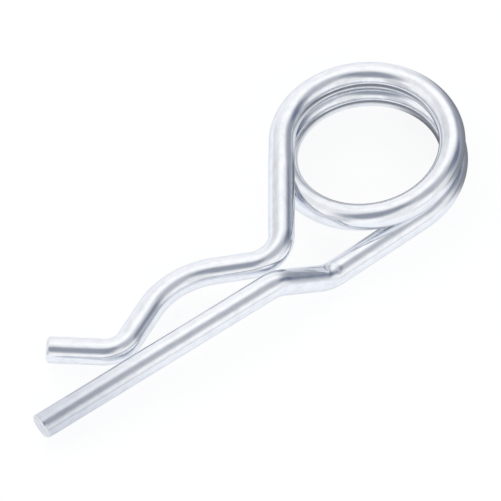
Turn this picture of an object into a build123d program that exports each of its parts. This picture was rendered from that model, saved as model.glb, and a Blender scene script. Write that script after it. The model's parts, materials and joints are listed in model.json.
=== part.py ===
"""R clip, a spring cotter with a double coil, bent from one length of round wire.

The wire's line is laid out in the clip's own frame: the coil's axis stands on the origin and the straight
leg runs towards minus X. The bent wire is then turned and lowered into the pose in which it settles on a
flat surface. All sizes are in millimetres and degrees.
"""

import os
from math import cos, pi, radians, sin, tan

from build123d import *

# The wire and its coil
wire_dia = 5.0
coil_bore = 26.8
turn_gap = 0.3
end_rounding = 0.4

# The straight leg, measured from the coil's axis, with its joggle up to the plane of the two legs
leg_reach = 85.9
joggle_low_at = 21.1
joggle_high_at = 32.4
joggle_radius = 6.8

# The neck that leaves the coil and comes down beside the straight leg
neck_angle = 54.3
neck_drop = 2.35
neck_gap = 0.55
neck_radius = 6.7
neck_lead = 6.0
neck_lead_radius = 25.0

# The sprung leg: the bow that grips a bolt, the dip that snaps past it and the flared end
bow_near_angle = 28.4
bow_far_angle = 26.2
bow_radius = 15.7
dip_at = 64.25
dip_gap = 0.85
dip_radius = 5.0
flare_angle = 42.3
flare_length = 13.8

# How finely the wire is searched for the points it rests on
rest_samples = 720
rest_passes = 8

half_turn = 180.0
quarter_turn = 90.0
full_turn = 360.0
wire_radius = wire_dia / 2
coil_radius = coil_bore / 2 + wire_radius
coil_pitch = wire_dia + turn_gap
coil_sweep = full_turn + half_turn + neck_angle
coil_height = coil_pitch * coil_sweep / full_turn
coil_slope = coil_pitch / (2 * pi * coil_radius)
leg_lift = coil_height - neck_drop


def low_past(radius, slope_one, slope_two):
    """How far the sharp corner between two slopes lies below the lowest point of its rounded bend."""
    lean = radians(slope_one - slope_two) / 2
    turn = radians(slope_one + slope_two) / 2
    return radius * (cos(lean) / cos(turn) - 1)


def on_leg_plane(along, height):
    """A point at this distance towards the tips and this height over the straight leg's axis."""
    return Vector(-along, height - coil_radius, leg_lift)


# The straight leg and its joggle, from the cut end to the coil
leg_line = FilletPolyline(
    on_leg_plane(leg_reach, 0),
    on_leg_plane(joggle_high_at, 0),
    (-joggle_low_at, -coil_radius, -coil_slope * joggle_low_at),
    (0, -coil_radius, 0),
    radius=joggle_radius,
)

# The coil, which starts under the straight leg's line and climbs anticlockwise
coil_line = Rot(0, 0, -quarter_turn) * Helix(coil_pitch, coil_height, coil_radius)

# The neck's corner lies where the line that leaves the coil comes down beside the straight leg
coil_end = coil_line @ 1
neck_start = coil_end + (coil_line % 1) * neck_lead
neck_height = wire_dia + neck_gap - low_past(neck_radius, neck_angle, bow_near_angle)
neck_run = (coil_end.Y + coil_radius - neck_height) / tan(radians(neck_angle))
neck_at = neck_run - coil_end.X

# The bow's corner lies where its two flanks meet
dip_height = wire_dia + dip_gap - low_past(dip_radius, bow_far_angle, flare_angle)
near_rise = tan(radians(bow_near_angle))
far_rise = tan(radians(bow_far_angle))
bow_run = (dip_height - neck_height + (dip_at - neck_at) * far_rise) / (near_rise + far_rise)
bow_height = neck_height + bow_run * near_rise

# The sprung leg, from the coil to the flared end
flare_run = flare_length * cos(radians(flare_angle))
flare_rise = flare_length * sin(radians(flare_angle))
sprung_line = FilletPolyline(
    coil_end,
    neck_start,
    on_leg_plane(neck_at, neck_height),
    on_leg_plane(neck_at + bow_run, bow_height),
    on_leg_plane(dip_at, dip_height),
    on_leg_plane(dip_at + flare_run, dip_height + flare_rise),
    radius=[neck_lead_radius, neck_radius, bow_radius, dip_radius],
)

# One round wire along the whole line, with the sharp edge taken off each cut end
wire_line = Wire(leg_line.edges() + coil_line.edges() + sprung_line.edges())
wire_section = Plane(wire_line @ 0, z_dir=wire_line % 0) * Circle(wire_radius)
clip = sweep(wire_section, path=wire_line)
cut_faces = clip.faces().filter_by(GeomType.PLANE)
clip = fillet(cut_faces.edges(), end_rounding)

# Three places carry the clip at rest: the flared end, the joggle's low bend and the far side of the coil
rest_shares = [step / rest_samples for step in range(rest_samples + 1)]
leg_points = leg_line.positions(rest_shares)
far_points = [point for point in coil_line.positions(rest_shares) if point.Y > 0]
flare_point = sprung_line @ 1 - (sprung_line % 1) * end_rounding
up = Vector(0, 0, 1)
for _ in range(rest_passes):
    bend_point = min(leg_points, key=up.dot)
    far_point = min(far_points, key=up.dot)
    up = (bend_point - flare_point).cross(far_point - flare_point).normalized()

# The clip laid on that surface, with the straight leg running along X and its footprint centred
leg_heading = Vector(1, 0, 0) - up * up.X
surface = Plane(flare_point, x_dir=leg_heading, z_dir=up)
clip = surface.to_local_coords(clip)
footprint = clip.bounding_box()
clip = Pos(-footprint.center().X, -footprint.center().Y, -footprint.min.Z) * clip

os.makedirs("parts", exist_ok=True)
export_step(clip, "parts/r_clip.step")
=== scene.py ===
"""Looks for the R clip: bright zinc plated spring wire, on a plain pale floor under soft studio light.

The wire is laid out in millimetres in the clip's own frame, as in the part's source, with the coil's
axis on the origin and the straight leg towards minus X. The record's mounts give that frame's place in
the row.
"""

import json
import math
from collections import namedtuple

import bpy
import numpy as np
from mathutils import Matrix, Vector


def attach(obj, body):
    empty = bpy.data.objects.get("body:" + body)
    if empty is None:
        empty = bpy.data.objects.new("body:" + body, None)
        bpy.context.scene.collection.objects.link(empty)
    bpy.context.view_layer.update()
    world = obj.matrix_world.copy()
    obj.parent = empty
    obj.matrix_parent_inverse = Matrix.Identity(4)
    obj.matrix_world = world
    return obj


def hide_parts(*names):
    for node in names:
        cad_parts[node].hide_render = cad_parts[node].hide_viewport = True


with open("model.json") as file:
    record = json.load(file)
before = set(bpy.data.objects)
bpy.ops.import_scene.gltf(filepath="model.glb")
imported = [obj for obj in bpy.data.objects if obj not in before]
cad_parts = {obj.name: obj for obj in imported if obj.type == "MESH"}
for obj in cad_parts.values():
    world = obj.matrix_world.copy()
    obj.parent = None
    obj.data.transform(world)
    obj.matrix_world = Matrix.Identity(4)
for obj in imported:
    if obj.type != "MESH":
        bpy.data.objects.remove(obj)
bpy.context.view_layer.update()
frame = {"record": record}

MM = 0.001
FULL_TURN = 360.0
HALF_TURN = 180.0
QUARTER_TURN = 90.0
WHITE = (1, 1, 1, 1)

# The wire and its coil, in millimetres
WIRE_DIA = 5.0
COIL_BORE = 26.8
TURN_GAP = 0.3
END_ROUNDING = 0.4

# The straight leg, measured from the coil's axis, with its joggle up to the plane of the two legs
LEG_REACH = 85.9
JOGGLE_LOW_AT = 21.1
JOGGLE_HIGH_AT = 32.4
JOGGLE_RADIUS = 6.8

# The neck that leaves the coil and comes down beside the straight leg
NECK_ANGLE = 54.3
NECK_DROP = 2.35
NECK_GAP = 0.55
NECK_RADIUS = 6.7
NECK_LEAD = 6.0
NECK_LEAD_RADIUS = 25.0

# The sprung leg: the bow that grips a bolt, the dip that snaps past it and the flared end
BOW_NEAR_ANGLE = 28.4
BOW_FAR_ANGLE = 26.2
BOW_RADIUS = 15.7
DIP_AT = 64.25
DIP_GAP = 0.85
DIP_RADIUS = 5.0
FLARE_ANGLE = 42.3
FLARE_LENGTH = 13.8

WIRE_RADIUS = WIRE_DIA / 2
COIL_RADIUS = COIL_BORE / 2 + WIRE_RADIUS
COIL_PITCH = WIRE_DIA + TURN_GAP
COIL_SWEEP = FULL_TURN + HALF_TURN + NECK_ANGLE
COIL_HEIGHT = COIL_PITCH * COIL_SWEEP / FULL_TURN
COIL_SLOPE = COIL_PITCH / (2 * math.pi * COIL_RADIUS)
LEG_LIFT = COIL_HEIGHT - NECK_DROP

# Bending pins flatten the inside of bends, from an easy bend, not at all, to a tight one
PIN_PRESS = 0.17
PIN_SPREAD = 2.0
PIN_FOCUS = 4
EASY_BEND_RADIUS = 14.0
TIGHT_BEND_RADIUS = 5.0

# Shears roll one side of each cut end, and leave its face leaning, with ridges that waver across it
ROLL_DEPTH = 0.14
ROLL_LENGTH = 2.2
ROLL_TURN = 70.0
ROLL_FOCUS = 2
CUT_TILT = 0.22
CUT_RIDGE = 0.05
CUT_RIDGE_PITCH = 0.9
CUT_RIDGE_WAVER = 0.8
CUT_RIDGE_WAVER_RATE = 2
CUT_RIDGE_FADE = 0.5

# A nick beside the joggle's low bend: its place along the wire, and its angle and half width round it
NICK_AT = 68.6
NICK_TURN = -64.0
NICK_HALF_LENGTH = 1.2
NICK_HALF_WIDTH = 32.0
NICK_DEPTH = 0.12

# How finely the wire is drawn
LINE_STEP = 0.05
RING_STEP = 0.4
ROUND = 64
EDGE_RINGS = 6
FACE_RINGS = 14
LEAST_TURN = 1e-18

# The plating's colours, and its tint at a grazing view
BRIGHT = (0.89, 0.91, 0.945, 1)
DULL = (0.815, 0.835, 0.875, 1)
SHEARED = (0.72, 0.72, 0.73, 1)
EDGE_TINT = (0.82, 0.83, 0.85, 1)

# Painted shade darkens the straight leg's end, where the light falls off, fully to the first place along
# the wire and not past the second
END_SHADE_TINT = (0.74, 0.755, 0.79, 1)
END_SHADE_FULL_TO = 1.0
END_SHADE_FADE = 32.0

# Noise over the wire's skin: its fineness round the wire, twice, and along it, then its detail
LINES_NOISE = ((6.5, 6.5, 0.06), 3.0)
MOTTLE_NOISE = ((2.4, 2.4, 0.5), 3.0)
SCUFF_NOISE = ((5.0, 5.0, 1.1), 2.0)
SHEAR_NOISE = ((1.4, 8.0, 0.0), 2.0)
NOISE_ROUGHNESS = 0.55

# The stretch of each noise over which its marks come in
LINES_STRETCH = (0.3, 0.7)
MOTTLE_STRETCH = (0.38, 0.72)
SCUFF_STRETCH = (0.6, 0.74)
SHEAR_STRETCH = (0.4, 0.62)

# Roughness between and on the drawn lines, and what scuffs and cuts add to it
LINES_ROUGHNESS = (0.10, 0.16)
SCUFF_ROUGHNESS = 0.10
CUT_ROUGHNESS = 0.12

# Relief of the drawn lines, and of the mottle as a share of it
BUMP_HEIGHT = 0.006 * MM
MOTTLE_BUMP_SHARE = 1.2

# The floor, as the camera sees it and with the cooler shade that the metal sees
FLOOR_SIZE = 8.0
FLOOR_COLOUR = (0.25, 0.25, 0.25, 1)
FLOOR_GLOW = 0.83
SHADED_COLOUR = (0.23, 0.245, 0.28, 1)

# The coil shades the floor inside it and beside it, on the side that little light comes from
EYE_SHADE = 0.12
EYE_SHADE_CORE = 7 * MM
EYE_SHADE_EDGE = 13 * MM
SIDE_SHADE = 0.12
SIDE_SHADE_HEADING = 352
SIDE_SHADE_WIDTH = 55

# The studio is pale all round, with soft panels and dim patches: heading, height, width and light added
STUDIO_LIGHT = 0.9
DARKEST = 0.08
PATCH_CORE = 0.3
PANEL_TINT = (1.0, 1.0, 1.0)
PANELS = [
    (51, 60, 32, 0.21),
    (75, 17, 28, 0.12),
    (157, 27, 26, 0.12),
    (224, 11, 25, 0.14),
    (286, 24, 18, 0.14),
]
DIM_TINT = (1.0, 0.96, 0.86)
DIM_PATCHES = [
    (207, 59, 34, -0.58),
    (328, 65, 36, -0.40),
    (360, 6, 50, -0.57),
    (342, 35, 22, -0.24),
    (103, 21, 30, -0.12),
    (192, 14, 22, -0.22),
    (284, 4, 12, -0.09),
]

# The camera, in the clip's frame: it looks at its aim from far off, and its view is one field wide there
CAMERA_HEADING = 241.8
CAMERA_HEIGHT = 51.6
CAMERA_ROLL = -8.7
CAMERA_AIM = Vector((-28.32, -0.57, -2.26)) * MM
CAMERA_DISTANCE = 3.0
CAMERA_FIELD = 93.82 * MM
CAMERA_SENSOR = 36.0
CAMERA_REACH = 100.0

Line = namedtuple("Line", "places centres headings sides overs")
Ring = namedtuple("Ring", "points grain cut")


# The wire's line


def unit(v):
    return v / np.linalg.norm(v)


def low_past(radius, slope_one, slope_two):
    """How far the sharp corner between two slopes lies below the lowest point of its rounded bend."""
    lean = math.radians(slope_one - slope_two) / 2
    turn = math.radians(slope_one + slope_two) / 2
    return radius * (math.cos(lean) / math.cos(turn) - 1)


def on_leg_plane(along, height):
    """A point at this distance towards the tips and this height over the straight leg's axis."""
    return np.array([-along, height - COIL_RADIUS, LEG_LIFT])


def run(start, end):
    """Points along a straight run, without its last one."""
    count = max(2, int(np.linalg.norm(end - start) / LINE_STEP))
    return [start + (end - start) * i / count for i in range(count)]


def rounded(corners, radii):
    """Points along straight runs whose inner corners are rounded."""
    points = []
    start = corners[0]
    for before, corner, after, radius in zip(corners, corners[1:], corners[2:], radii):
        into = unit(corner - before)
        out = unit(after - corner)
        turn = math.acos(into @ out)
        arc_start = corner - into * radius * math.tan(turn / 2)
        centre = corner + unit(out - into) * radius / math.cos(turn / 2)
        side = arc_start - centre
        points += run(start, arc_start)
        count = max(2, int(radius * turn / LINE_STEP))
        for i in range(count):
            angle = turn * i / count
            points.append(centre + side * math.cos(angle) + into * radius * math.sin(angle))
        start = corner + out * radius * math.tan(turn / 2)
    return points + run(start, corners[-1]) + [corners[-1]]


def leg_points():
    """The straight leg and its joggle, from the cut end to the coil."""
    return rounded(
        [
            on_leg_plane(LEG_REACH, 0),
            on_leg_plane(JOGGLE_HIGH_AT, 0),
            np.array([-JOGGLE_LOW_AT, -COIL_RADIUS, -COIL_SLOPE * JOGGLE_LOW_AT]),
            np.array([0, -COIL_RADIUS, 0]),
        ],
        [JOGGLE_RADIUS, JOGGLE_RADIUS],
    )


def coil_point(share):
    angle = math.radians(COIL_SWEEP * share - QUARTER_TURN)
    return np.array([COIL_RADIUS * math.cos(angle), COIL_RADIUS * math.sin(angle), COIL_HEIGHT * share])


def coil_points():
    """The coil, without the point that the leg ends on."""
    count = int(math.radians(COIL_SWEEP) * COIL_RADIUS / LINE_STEP)
    return [coil_point(i / count) for i in range(1, count + 1)]


def sprung_points(coil_end):
    """The neck and the sprung leg, from the coil to the flared end."""
    last_angle = math.radians(COIL_SWEEP - QUARTER_TURN)
    leaving = unit(np.array([-math.sin(last_angle), math.cos(last_angle), COIL_SLOPE]))
    neck_height = WIRE_DIA + NECK_GAP - low_past(NECK_RADIUS, NECK_ANGLE, BOW_NEAR_ANGLE)
    neck_run = (coil_end[1] + COIL_RADIUS - neck_height) / math.tan(math.radians(NECK_ANGLE))
    neck_at = neck_run - coil_end[0]
    dip_height = WIRE_DIA + DIP_GAP - low_past(DIP_RADIUS, BOW_FAR_ANGLE, FLARE_ANGLE)
    near_rise = math.tan(math.radians(BOW_NEAR_ANGLE))
    far_rise = math.tan(math.radians(BOW_FAR_ANGLE))
    bow_run = (dip_height - neck_height + (DIP_AT - neck_at) * far_rise) / (near_rise + far_rise)
    flare_run = FLARE_LENGTH * math.cos(math.radians(FLARE_ANGLE))
    flare_rise = FLARE_LENGTH * math.sin(math.radians(FLARE_ANGLE))
    return rounded(
        [
            coil_end,
            coil_end + leaving * NECK_LEAD,
            on_leg_plane(neck_at, neck_height),
            on_leg_plane(neck_at + bow_run, neck_height + bow_run * near_rise),
            on_leg_plane(DIP_AT, dip_height),
            on_leg_plane(DIP_AT + flare_run, dip_height + flare_rise),
        ],
        [NECK_LEAD_RADIUS, NECK_RADIUS, BOW_RADIUS, DIP_RADIUS],
    )


def wire_points():
    """Points along the middle of the wire, from the straight leg's cut end to the flared end."""
    coil = coil_points()
    return np.array(leg_points() + coil + sprung_points(coil[-1])[1:])


def flipped(v, across):
    """A vector mirrored in the plane square to another."""
    return v - across * 2 * (across @ v) / (across @ across)


def framed(points):
    """The line through points in even steps, with its headings and two sides that don't twist."""
    along = np.concatenate([[0], np.cumsum(np.linalg.norm(np.diff(points, axis=0), axis=1))])
    places = np.linspace(0, along[-1], int(round(along[-1] / RING_STEP)) + 1)

    def at(where):
        return np.column_stack([np.interp(where, along, points[:, i]) for i in range(3)])

    centres = at(places)
    headings = at(places + LINE_STEP) - at(places - LINE_STEP)
    headings /= np.linalg.norm(headings, axis=1)[:, None]
    sides = np.zeros_like(centres)
    sides[0] = unit(np.cross(headings[0], [0, 0, 1]))
    for i in range(len(places) - 1):
        step = centres[i + 1] - centres[i]
        side = flipped(sides[i], step)
        turn = headings[i + 1] - flipped(headings[i], step)
        if turn @ turn > LEAST_TURN:
            side = flipped(side, turn)
        sides[i + 1] = unit(side - headings[i + 1] * (side @ headings[i + 1]))
    return Line(places, centres, headings, sides, np.cross(headings, sides))


# The wire's skin

ANGLES = np.arange(ROUND) * 2 * math.pi / ROUND
CIRCLE = np.column_stack([np.cos(ANGLES), np.sin(ANGLES)])


def swell(share):
    """One in the middle, easing to nothing where the share reaches one."""
    return np.clip(1 - share**2, 0, 1) ** 2


def pin_depth(line):
    """How far bending pins press the skin in, at each place and each angle round it."""
    bend = np.gradient(line.headings, line.places, axis=0)
    spread = int(PIN_SPREAD / RING_STEP)
    window = np.ones(spread) / spread
    bend = np.column_stack([np.convolve(bend[:, i], window, "same") for i in range(3)])
    inner = np.arctan2((bend * line.overs).sum(1), (bend * line.sides).sum(1))
    tight = np.linalg.norm(bend, axis=1)
    easiest = 1 / EASY_BEND_RADIUS
    tightest = 1 / TIGHT_BEND_RADIUS
    share = np.clip((tight - easiest) / (tightest - easiest), 0, 1)
    return PIN_PRESS * share[:, None] * np.clip(np.cos(ANGLES - inner[:, None]), 0, 1) ** PIN_FOCUS


def roll_depth(line, end):
    """How far shears roll the skin in beside the cut end at that place."""
    near = np.clip(1 - np.abs(line.places - end) / ROLL_LENGTH, 0, 1)
    facing = np.clip(np.cos(ANGLES - math.radians(ROLL_TURN)), 0, 1)
    return ROLL_DEPTH * near[:, None] ** ROLL_FOCUS * facing**ROLL_FOCUS


def nick_depth(line):
    """How deep the nick is."""
    off = np.degrees(np.angle(np.exp(1j * (ANGLES - math.radians(NICK_TURN)))))
    along = swell((line.places - NICK_AT) / NICK_HALF_LENGTH)
    return NICK_DEPTH * along[:, None] * swell(off / NICK_HALF_WIDTH)


def cut_depth(offset):
    """How far a cut end's face lies inside a square cut: it leans, and shears leave ridges on it."""
    turn = math.radians(ROLL_TURN)
    across = offset[:, 0] * math.cos(turn) + offset[:, 1] * math.sin(turn)
    beside = offset[:, 1] * math.cos(turn) - offset[:, 0] * math.sin(turn)
    waver = CUT_RIDGE_WAVER * np.sin(CUT_RIDGE_WAVER_RATE * across)
    ridge = (1 + np.sin(2 * math.pi * beside / CUT_RIDGE_PITCH + waver)) / 2
    reach = np.linalg.norm(offset, axis=1) / (WIRE_RADIUS - END_ROUNDING)
    calm = np.clip(1 - reach, 0, 1) ** CUT_RIDGE_FADE
    return CUT_TILT * (1 + across / WIRE_RADIUS) / 2 + CUT_RIDGE * ridge * calm


def ring_points(line, i, offset, inset):
    """Points of a ring at one place on the line, with offsets across the line and insets along it."""
    centre = line.centres[i] + line.headings[i] * inset[:, None]
    return centre + offset[:, :1] * line.sides[i] + offset[:, 1:] * line.overs[i]


def skin_ring(line, i, depth):
    """A ring of the wire's round skin."""
    still = np.zeros(ROUND)
    points = ring_points(line, i, CIRCLE * (WIRE_RADIUS - depth[i])[:, None], still)
    return Ring(points, np.column_stack([CIRCLE, np.full(ROUND, line.places[i])]), still)


def end_ring(line, i, depth, inward, radius, inset, share):
    """A ring of a cut end, with its radius, its inset from the end and its share of cut face."""
    offset = CIRCLE * (radius * (1 - depth[i] / WIRE_RADIUS))[:, None]
    inset = inward * (inset + cut_depth(offset))
    grain = np.column_stack([CIRCLE * radius / WIRE_RADIUS, line.places[i] + inset])
    return Ring(ring_points(line, i, offset, inset), grain, np.full(ROUND, share))


def cut_end(line, i, depth, inward):
    """The rings of a cut end, from its middle out over its rounded edge to the wire's skin."""
    flat = WIRE_RADIUS - END_ROUNDING
    sizes = [(flat * k / FACE_RINGS, 0.0, 1.0) for k in range(1, FACE_RINGS)]
    for k in range(EDGE_RINGS):
        angle = math.pi / 2 * k / EDGE_RINGS
        radius = flat + END_ROUNDING * math.sin(angle)
        sizes.append((radius, END_ROUNDING * (1 - math.cos(angle)), 1 - k / EDGE_RINGS))
    return [end_ring(line, i, depth, inward, *size) for size in sizes]


def skin_faces(count):
    """Faces between that many rings, and fans from the middles of both ends, which follow the rings."""
    steps = [(j, (j + 1) % ROUND) for j in range(ROUND)]
    last = (count - 1) * ROUND
    middle = count * ROUND
    faces = []
    for low in range(0, last, ROUND):
        high = low + ROUND
        faces += [(low + j, low + k, high + k, high + j) for j, k in steps]
    for j, k in steps:
        faces.append((middle, k, j))
        faces.append((middle + 1, last + j, last + k))
    return faces


def wire_mesh():
    """Vertices in millimetres in the clip's frame, faces, and two readings for each vertex.

    The readings are its grain, which is the way it faces round the wire and its place along it, and its
    share of cut face.
    """
    line = framed(wire_points())
    ends = (line.places[0], line.places[-1])
    depth = pin_depth(line) + roll_depth(line, ends[0]) + roll_depth(line, ends[1]) + nick_depth(line)
    last = len(line.places) - 1
    first = int(math.ceil((END_ROUNDING + CUT_TILT) / RING_STEP))
    rings = cut_end(line, 0, depth, 1.0)
    rings += [skin_ring(line, i, depth) for i in range(first, last - first + 1)]
    rings += cut_end(line, last, depth, -1.0)[::-1]

    middles = [rings[0].points.mean(0), rings[-1].points.mean(0)]
    points = np.concatenate([ring.points for ring in rings] + [middles])
    grain = np.concatenate([ring.grain for ring in rings] + [[[0, 0, end] for end in ends]])
    cut = np.concatenate([ring.cut for ring in rings] + [[1, 1]])
    return points, skin_faces(len(rings)), grain, cut


def clip_to_row():
    """The clip frame's place in the row, from the record's mounts."""
    mounts = {mount["name"]: mount for mount in frame["record"]["mounts"]}
    clip_z = Vector(mounts["coil_eye"]["axis"]).normalized()
    clip_y = clip_z.cross(-Vector(mounts["straight_leg"]["axis"])).normalized()
    clip_x = clip_y.cross(clip_z)
    origin = Vector(mounts["coil_eye"]["pos_m"]) - clip_z * COIL_HEIGHT / 2 * MM
    turn = Matrix((clip_x, clip_y, clip_z)).transposed().to_4x4()
    return Matrix.Translation(origin) @ turn


def make_wire(place):
    points, faces, grain, cut = wire_mesh()
    mesh = bpy.data.meshes.new("r_clip_wire")
    mesh.from_pydata([place @ (Vector(point) * MM) for point in points], [], faces)
    mesh.shade_smooth()
    mesh.attributes.new("grain", "FLOAT_VECTOR", "POINT").data.foreach_set("vector", grain.ravel())
    mesh.attributes.new("cut", "FLOAT", "POINT").data.foreach_set("value", cut)
    wire = bpy.data.objects.new("r_clip_wire", mesh)
    bpy.context.collection.objects.link(wire)
    return wire


# Shader nodes


def add_node(tree, kind, settings=None, **inputs):
    """A node with its settings and its inputs: a number, a tuple, or another node's output to link from.

    An input goes by its name, with underscores for spaces, or by an underscore and its number.
    """
    node = tree.nodes.new(kind)
    for name, value in (settings or {}).items():
        setattr(node, name, value)
    for name, value in inputs.items():
        key = int(name[1:]) if name[0] == "_" else name.replace("_", " ")
        if isinstance(value, bpy.types.NodeSocket):
            tree.links.new(value, node.inputs[key])
        else:
            node.inputs[key].default_value = value
    return node


def ramp(tree, value, low, high, low_to=0.0, high_to=1.0):
    """A value eased from low_to to high_to as it goes from low to high."""
    node = add_node(
        tree,
        "ShaderNodeMapRange",
        {"interpolation_type": "SMOOTHSTEP"},
        Value=value,
        From_Min=low,
        From_Max=high,
        To_Min=low_to,
        To_Max=high_to,
    )
    return node.outputs[0]


def sums(tree, kind, one, two):
    return add_node(tree, "ShaderNodeMath", {"operation": kind}, _0=one, _1=two).outputs[0]


def vectors(tree, kind, *parts, output="Vector"):
    """A sum on vectors, which gives a vector, or a number if output is Value."""
    inputs = {f"_{i}": part for i, part in enumerate(parts)}
    return add_node(tree, "ShaderNodeVectorMath", {"operation": kind}, **inputs).outputs[output]


def blend(tree, share, one, two, kind="MIX"):
    """A colour that goes from one to two with the share, or to one times two."""
    settings = {"data_type": "RGBA", "blend_type": kind}
    return add_node(tree, "ShaderNodeMix", settings, _0=share, _6=one, _7=two).outputs[2]


def way(heading, height):
    turn = math.radians(heading)
    lift = math.radians(height)
    return (math.cos(turn) * math.cos(lift), math.sin(turn) * math.cos(lift), math.sin(lift))


def facing_way(tree, direction, heading, height):
    """How nearly a direction points that way: one if it does, nothing at right angles to it."""
    return vectors(tree, "DOT_PRODUCT", direction, way(heading, height), output="Value")


def patch_share(tree, facing, width):
    """One in the core of a soft round patch, easing to nothing at its width in degrees."""
    core = width * PATCH_CORE
    return ramp(tree, facing, math.cos(math.radians(width)), math.cos(math.radians(core)))


# Materials


def grain_noise(tree, grain, noise):
    fineness, detail = noise
    node = add_node(
        tree,
        "ShaderNodeTexNoise",
        Vector=vectors(tree, "MULTIPLY", grain, fineness),
        Scale=1.0,
        Detail=detail,
        Roughness=NOISE_ROUGHNESS,
    )
    return node.outputs["Fac"]


def plated_wire():
    """Bright plating over drawn wire.

    It has fine lines along it, a faint mottle, scuffs, painted shade darkening the straight leg's end and
    sheared cuts.
    """
    material = bpy.data.materials.new("plated_wire")
    material.use_nodes = True
    tree = material.node_tree
    shader = tree.nodes["Principled BSDF"]
    grain = add_node(tree, "ShaderNodeAttribute", {"attribute_name": "grain"}).outputs["Vector"]
    cut = add_node(tree, "ShaderNodeAttribute", {"attribute_name": "cut"}).outputs["Fac"]
    along = add_node(tree, "ShaderNodeSeparateXYZ", Vector=grain).outputs["Z"]
    lines = grain_noise(tree, grain, LINES_NOISE)
    mottle = grain_noise(tree, grain, MOTTLE_NOISE)
    scuff = ramp(tree, grain_noise(tree, grain, SCUFF_NOISE), *SCUFF_STRETCH)
    shear = ramp(tree, grain_noise(tree, grain, SHEAR_NOISE), *SHEAR_STRETCH)
    # Painted shade: the straight leg is darker towards its cut end, where the light falls off, but not on
    # the cut face
    end_shade = sums(tree, "SUBTRACT", ramp(tree, along, END_SHADE_FULL_TO, END_SHADE_FADE, 1.0, 0.0), cut)

    colour = blend(tree, ramp(tree, mottle, *MOTTLE_STRETCH), BRIGHT, DULL)
    colour = blend(tree, end_shade, colour, END_SHADE_TINT, "MULTIPLY")
    colour = blend(tree, sums(tree, "MULTIPLY", cut, shear), colour, SHEARED)

    rough = ramp(tree, lines, *LINES_STRETCH, *LINES_ROUGHNESS)
    rough = sums(tree, "ADD", rough, sums(tree, "MULTIPLY", scuff, SCUFF_ROUGHNESS))
    rough = sums(tree, "ADD", rough, sums(tree, "MULTIPLY", cut, CUT_ROUGHNESS))

    height = sums(tree, "ADD", lines, sums(tree, "MULTIPLY", mottle, MOTTLE_BUMP_SHARE))
    bump = add_node(tree, "ShaderNodeBump", Strength=1.0, Distance=BUMP_HEIGHT, Height=height).outputs[0]

    shader.inputs["Metallic"].default_value = 1.0
    shader.inputs["Specular Tint"].default_value = EDGE_TINT
    tree.links.new(colour, shader.inputs["Base Color"])
    tree.links.new(rough, shader.inputs["Roughness"])
    tree.links.new(bump, shader.inputs["Normal"])
    return material


def white_sheet(tree, colour, glow):
    """A matt sheet whose own glow lifts it to white."""
    shader = add_node(
        tree,
        "ShaderNodeBsdfPrincipled",
        Base_Color=colour,
        Roughness=1.0,
        Specular_IOR_Level=0.0,
        Emission_Color=WHITE,
        Emission_Strength=glow,
    )
    return shader.outputs[0]


def coil_shade(tree, eye):
    """The share of the floor's glow left in the shade that the metal sees in the coil and beside it."""
    spot = add_node(tree, "ShaderNodeNewGeometry").outputs["Position"]
    from_eye = vectors(tree, "SUBTRACT", spot, eye)
    reach = vectors(tree, "LENGTH", from_eye, output="Value")
    inside = ramp(tree, reach, EYE_SHADE_CORE, EYE_SHADE_EDGE, EYE_SHADE, 1.0)
    facing = facing_way(tree, vectors(tree, "NORMALIZE", from_eye), SIDE_SHADE_HEADING, 0.0)
    beside = ramp(tree, patch_share(tree, facing, SIDE_SHADE_WIDTH), 0.0, 1.0, 1.0, SIDE_SHADE)
    return sums(tree, "MULTIPLY", inside, beside)


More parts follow.
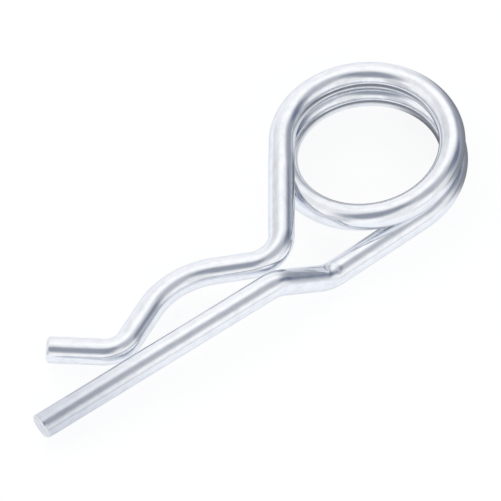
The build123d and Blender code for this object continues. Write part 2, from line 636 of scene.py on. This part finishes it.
def pale_floor(eye):
    """A white sheet for the camera and for the metal, which sees it in the coil's shade."""
    material = bpy.data.materials.new("floor")
    material.use_nodes = True
    tree = material.node_tree
    path = add_node(tree, "ShaderNodeLightPath").outputs
    mirrored = sums(tree, "MAXIMUM", path["Is Glossy Ray"], path["Is Transmission Ray"])
    glow = sums(tree, "MULTIPLY", sums(tree, "MULTIPLY", mirrored, FLOOR_GLOW), coil_shade(tree, eye))
    seen = add_node(
        tree,
        "ShaderNodeMixShader",
        _0=path["Is Camera Ray"],
        _1=white_sheet(tree, SHADED_COLOUR, glow),
        _2=white_sheet(tree, FLOOR_COLOUR, FLOOR_GLOW),
    )
    tree.links.new(seen.outputs[0], tree.nodes["Material Output"].inputs["Surface"])
    return material


# The scene


def studio():
    """Soft light from all round, with panels that add to it and dim patches that take from it."""
    world = bpy.data.worlds.new("studio")
    bpy.context.scene.world = world
    world.use_nodes = True
    tree = world.node_tree
    looking = add_node(tree, "ShaderNodeTexCoord").outputs["Generated"]
    light = (STUDIO_LIGHT, STUDIO_LIGHT, STUDIO_LIGHT)
    for patches, tint in ((PANELS, PANEL_TINT), (DIM_PATCHES, DIM_TINT)):
        for heading, height, width, amount in patches:
            share = patch_share(tree, facing_way(tree, looking, heading, height), width)
            added = [amount * part for part in tint]
            light = vectors(tree, "ADD", light, vectors(tree, "MULTIPLY", added, share))
    light = vectors(tree, "MAXIMUM", light, (DARKEST, DARKEST, DARKEST))
    tree.links.new(light, tree.nodes["Background"].inputs["Color"])


def look_through(camera, place):
    """Points the camera at its aim in the clip's frame, which lies at that place in the row."""
    back = Vector(way(CAMERA_HEADING, CAMERA_HEIGHT))
    level = Vector(way(CAMERA_HEADING + QUARTER_TURN, 0.0))
    roll = math.radians(CAMERA_ROLL)
    right = level * math.cos(roll) + back.cross(level) * math.sin(roll)
    turn = Matrix((right, back.cross(right), back)).transposed().to_4x4()
    camera.matrix_world = place @ Matrix.Translation(CAMERA_AIM + back * CAMERA_DISTANCE) @ turn
    camera.data.sensor_width = CAMERA_SENSOR
    camera.data.lens = CAMERA_SENSOR * CAMERA_DISTANCE / CAMERA_FIELD
    camera.data.clip_end = CAMERA_REACH


place = clip_to_row()

wire = make_wire(place)
wire.data.materials.append(plated_wire())
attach(wire, "root")
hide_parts("r_clip")

bpy.ops.mesh.primitive_plane_add(size=FLOOR_SIZE)
floor = bpy.context.object
floor.name = "floor"
floor.data.materials.append(pale_floor(place.translation))

studio()

camera = bpy.data.objects.new("camera", bpy.data.cameras.new("camera"))
bpy.context.collection.objects.link(camera)
bpy.context.scene.camera = camera
look_through(camera, place)

bpy.context.scene.view_settings.view_transform = "Standard"
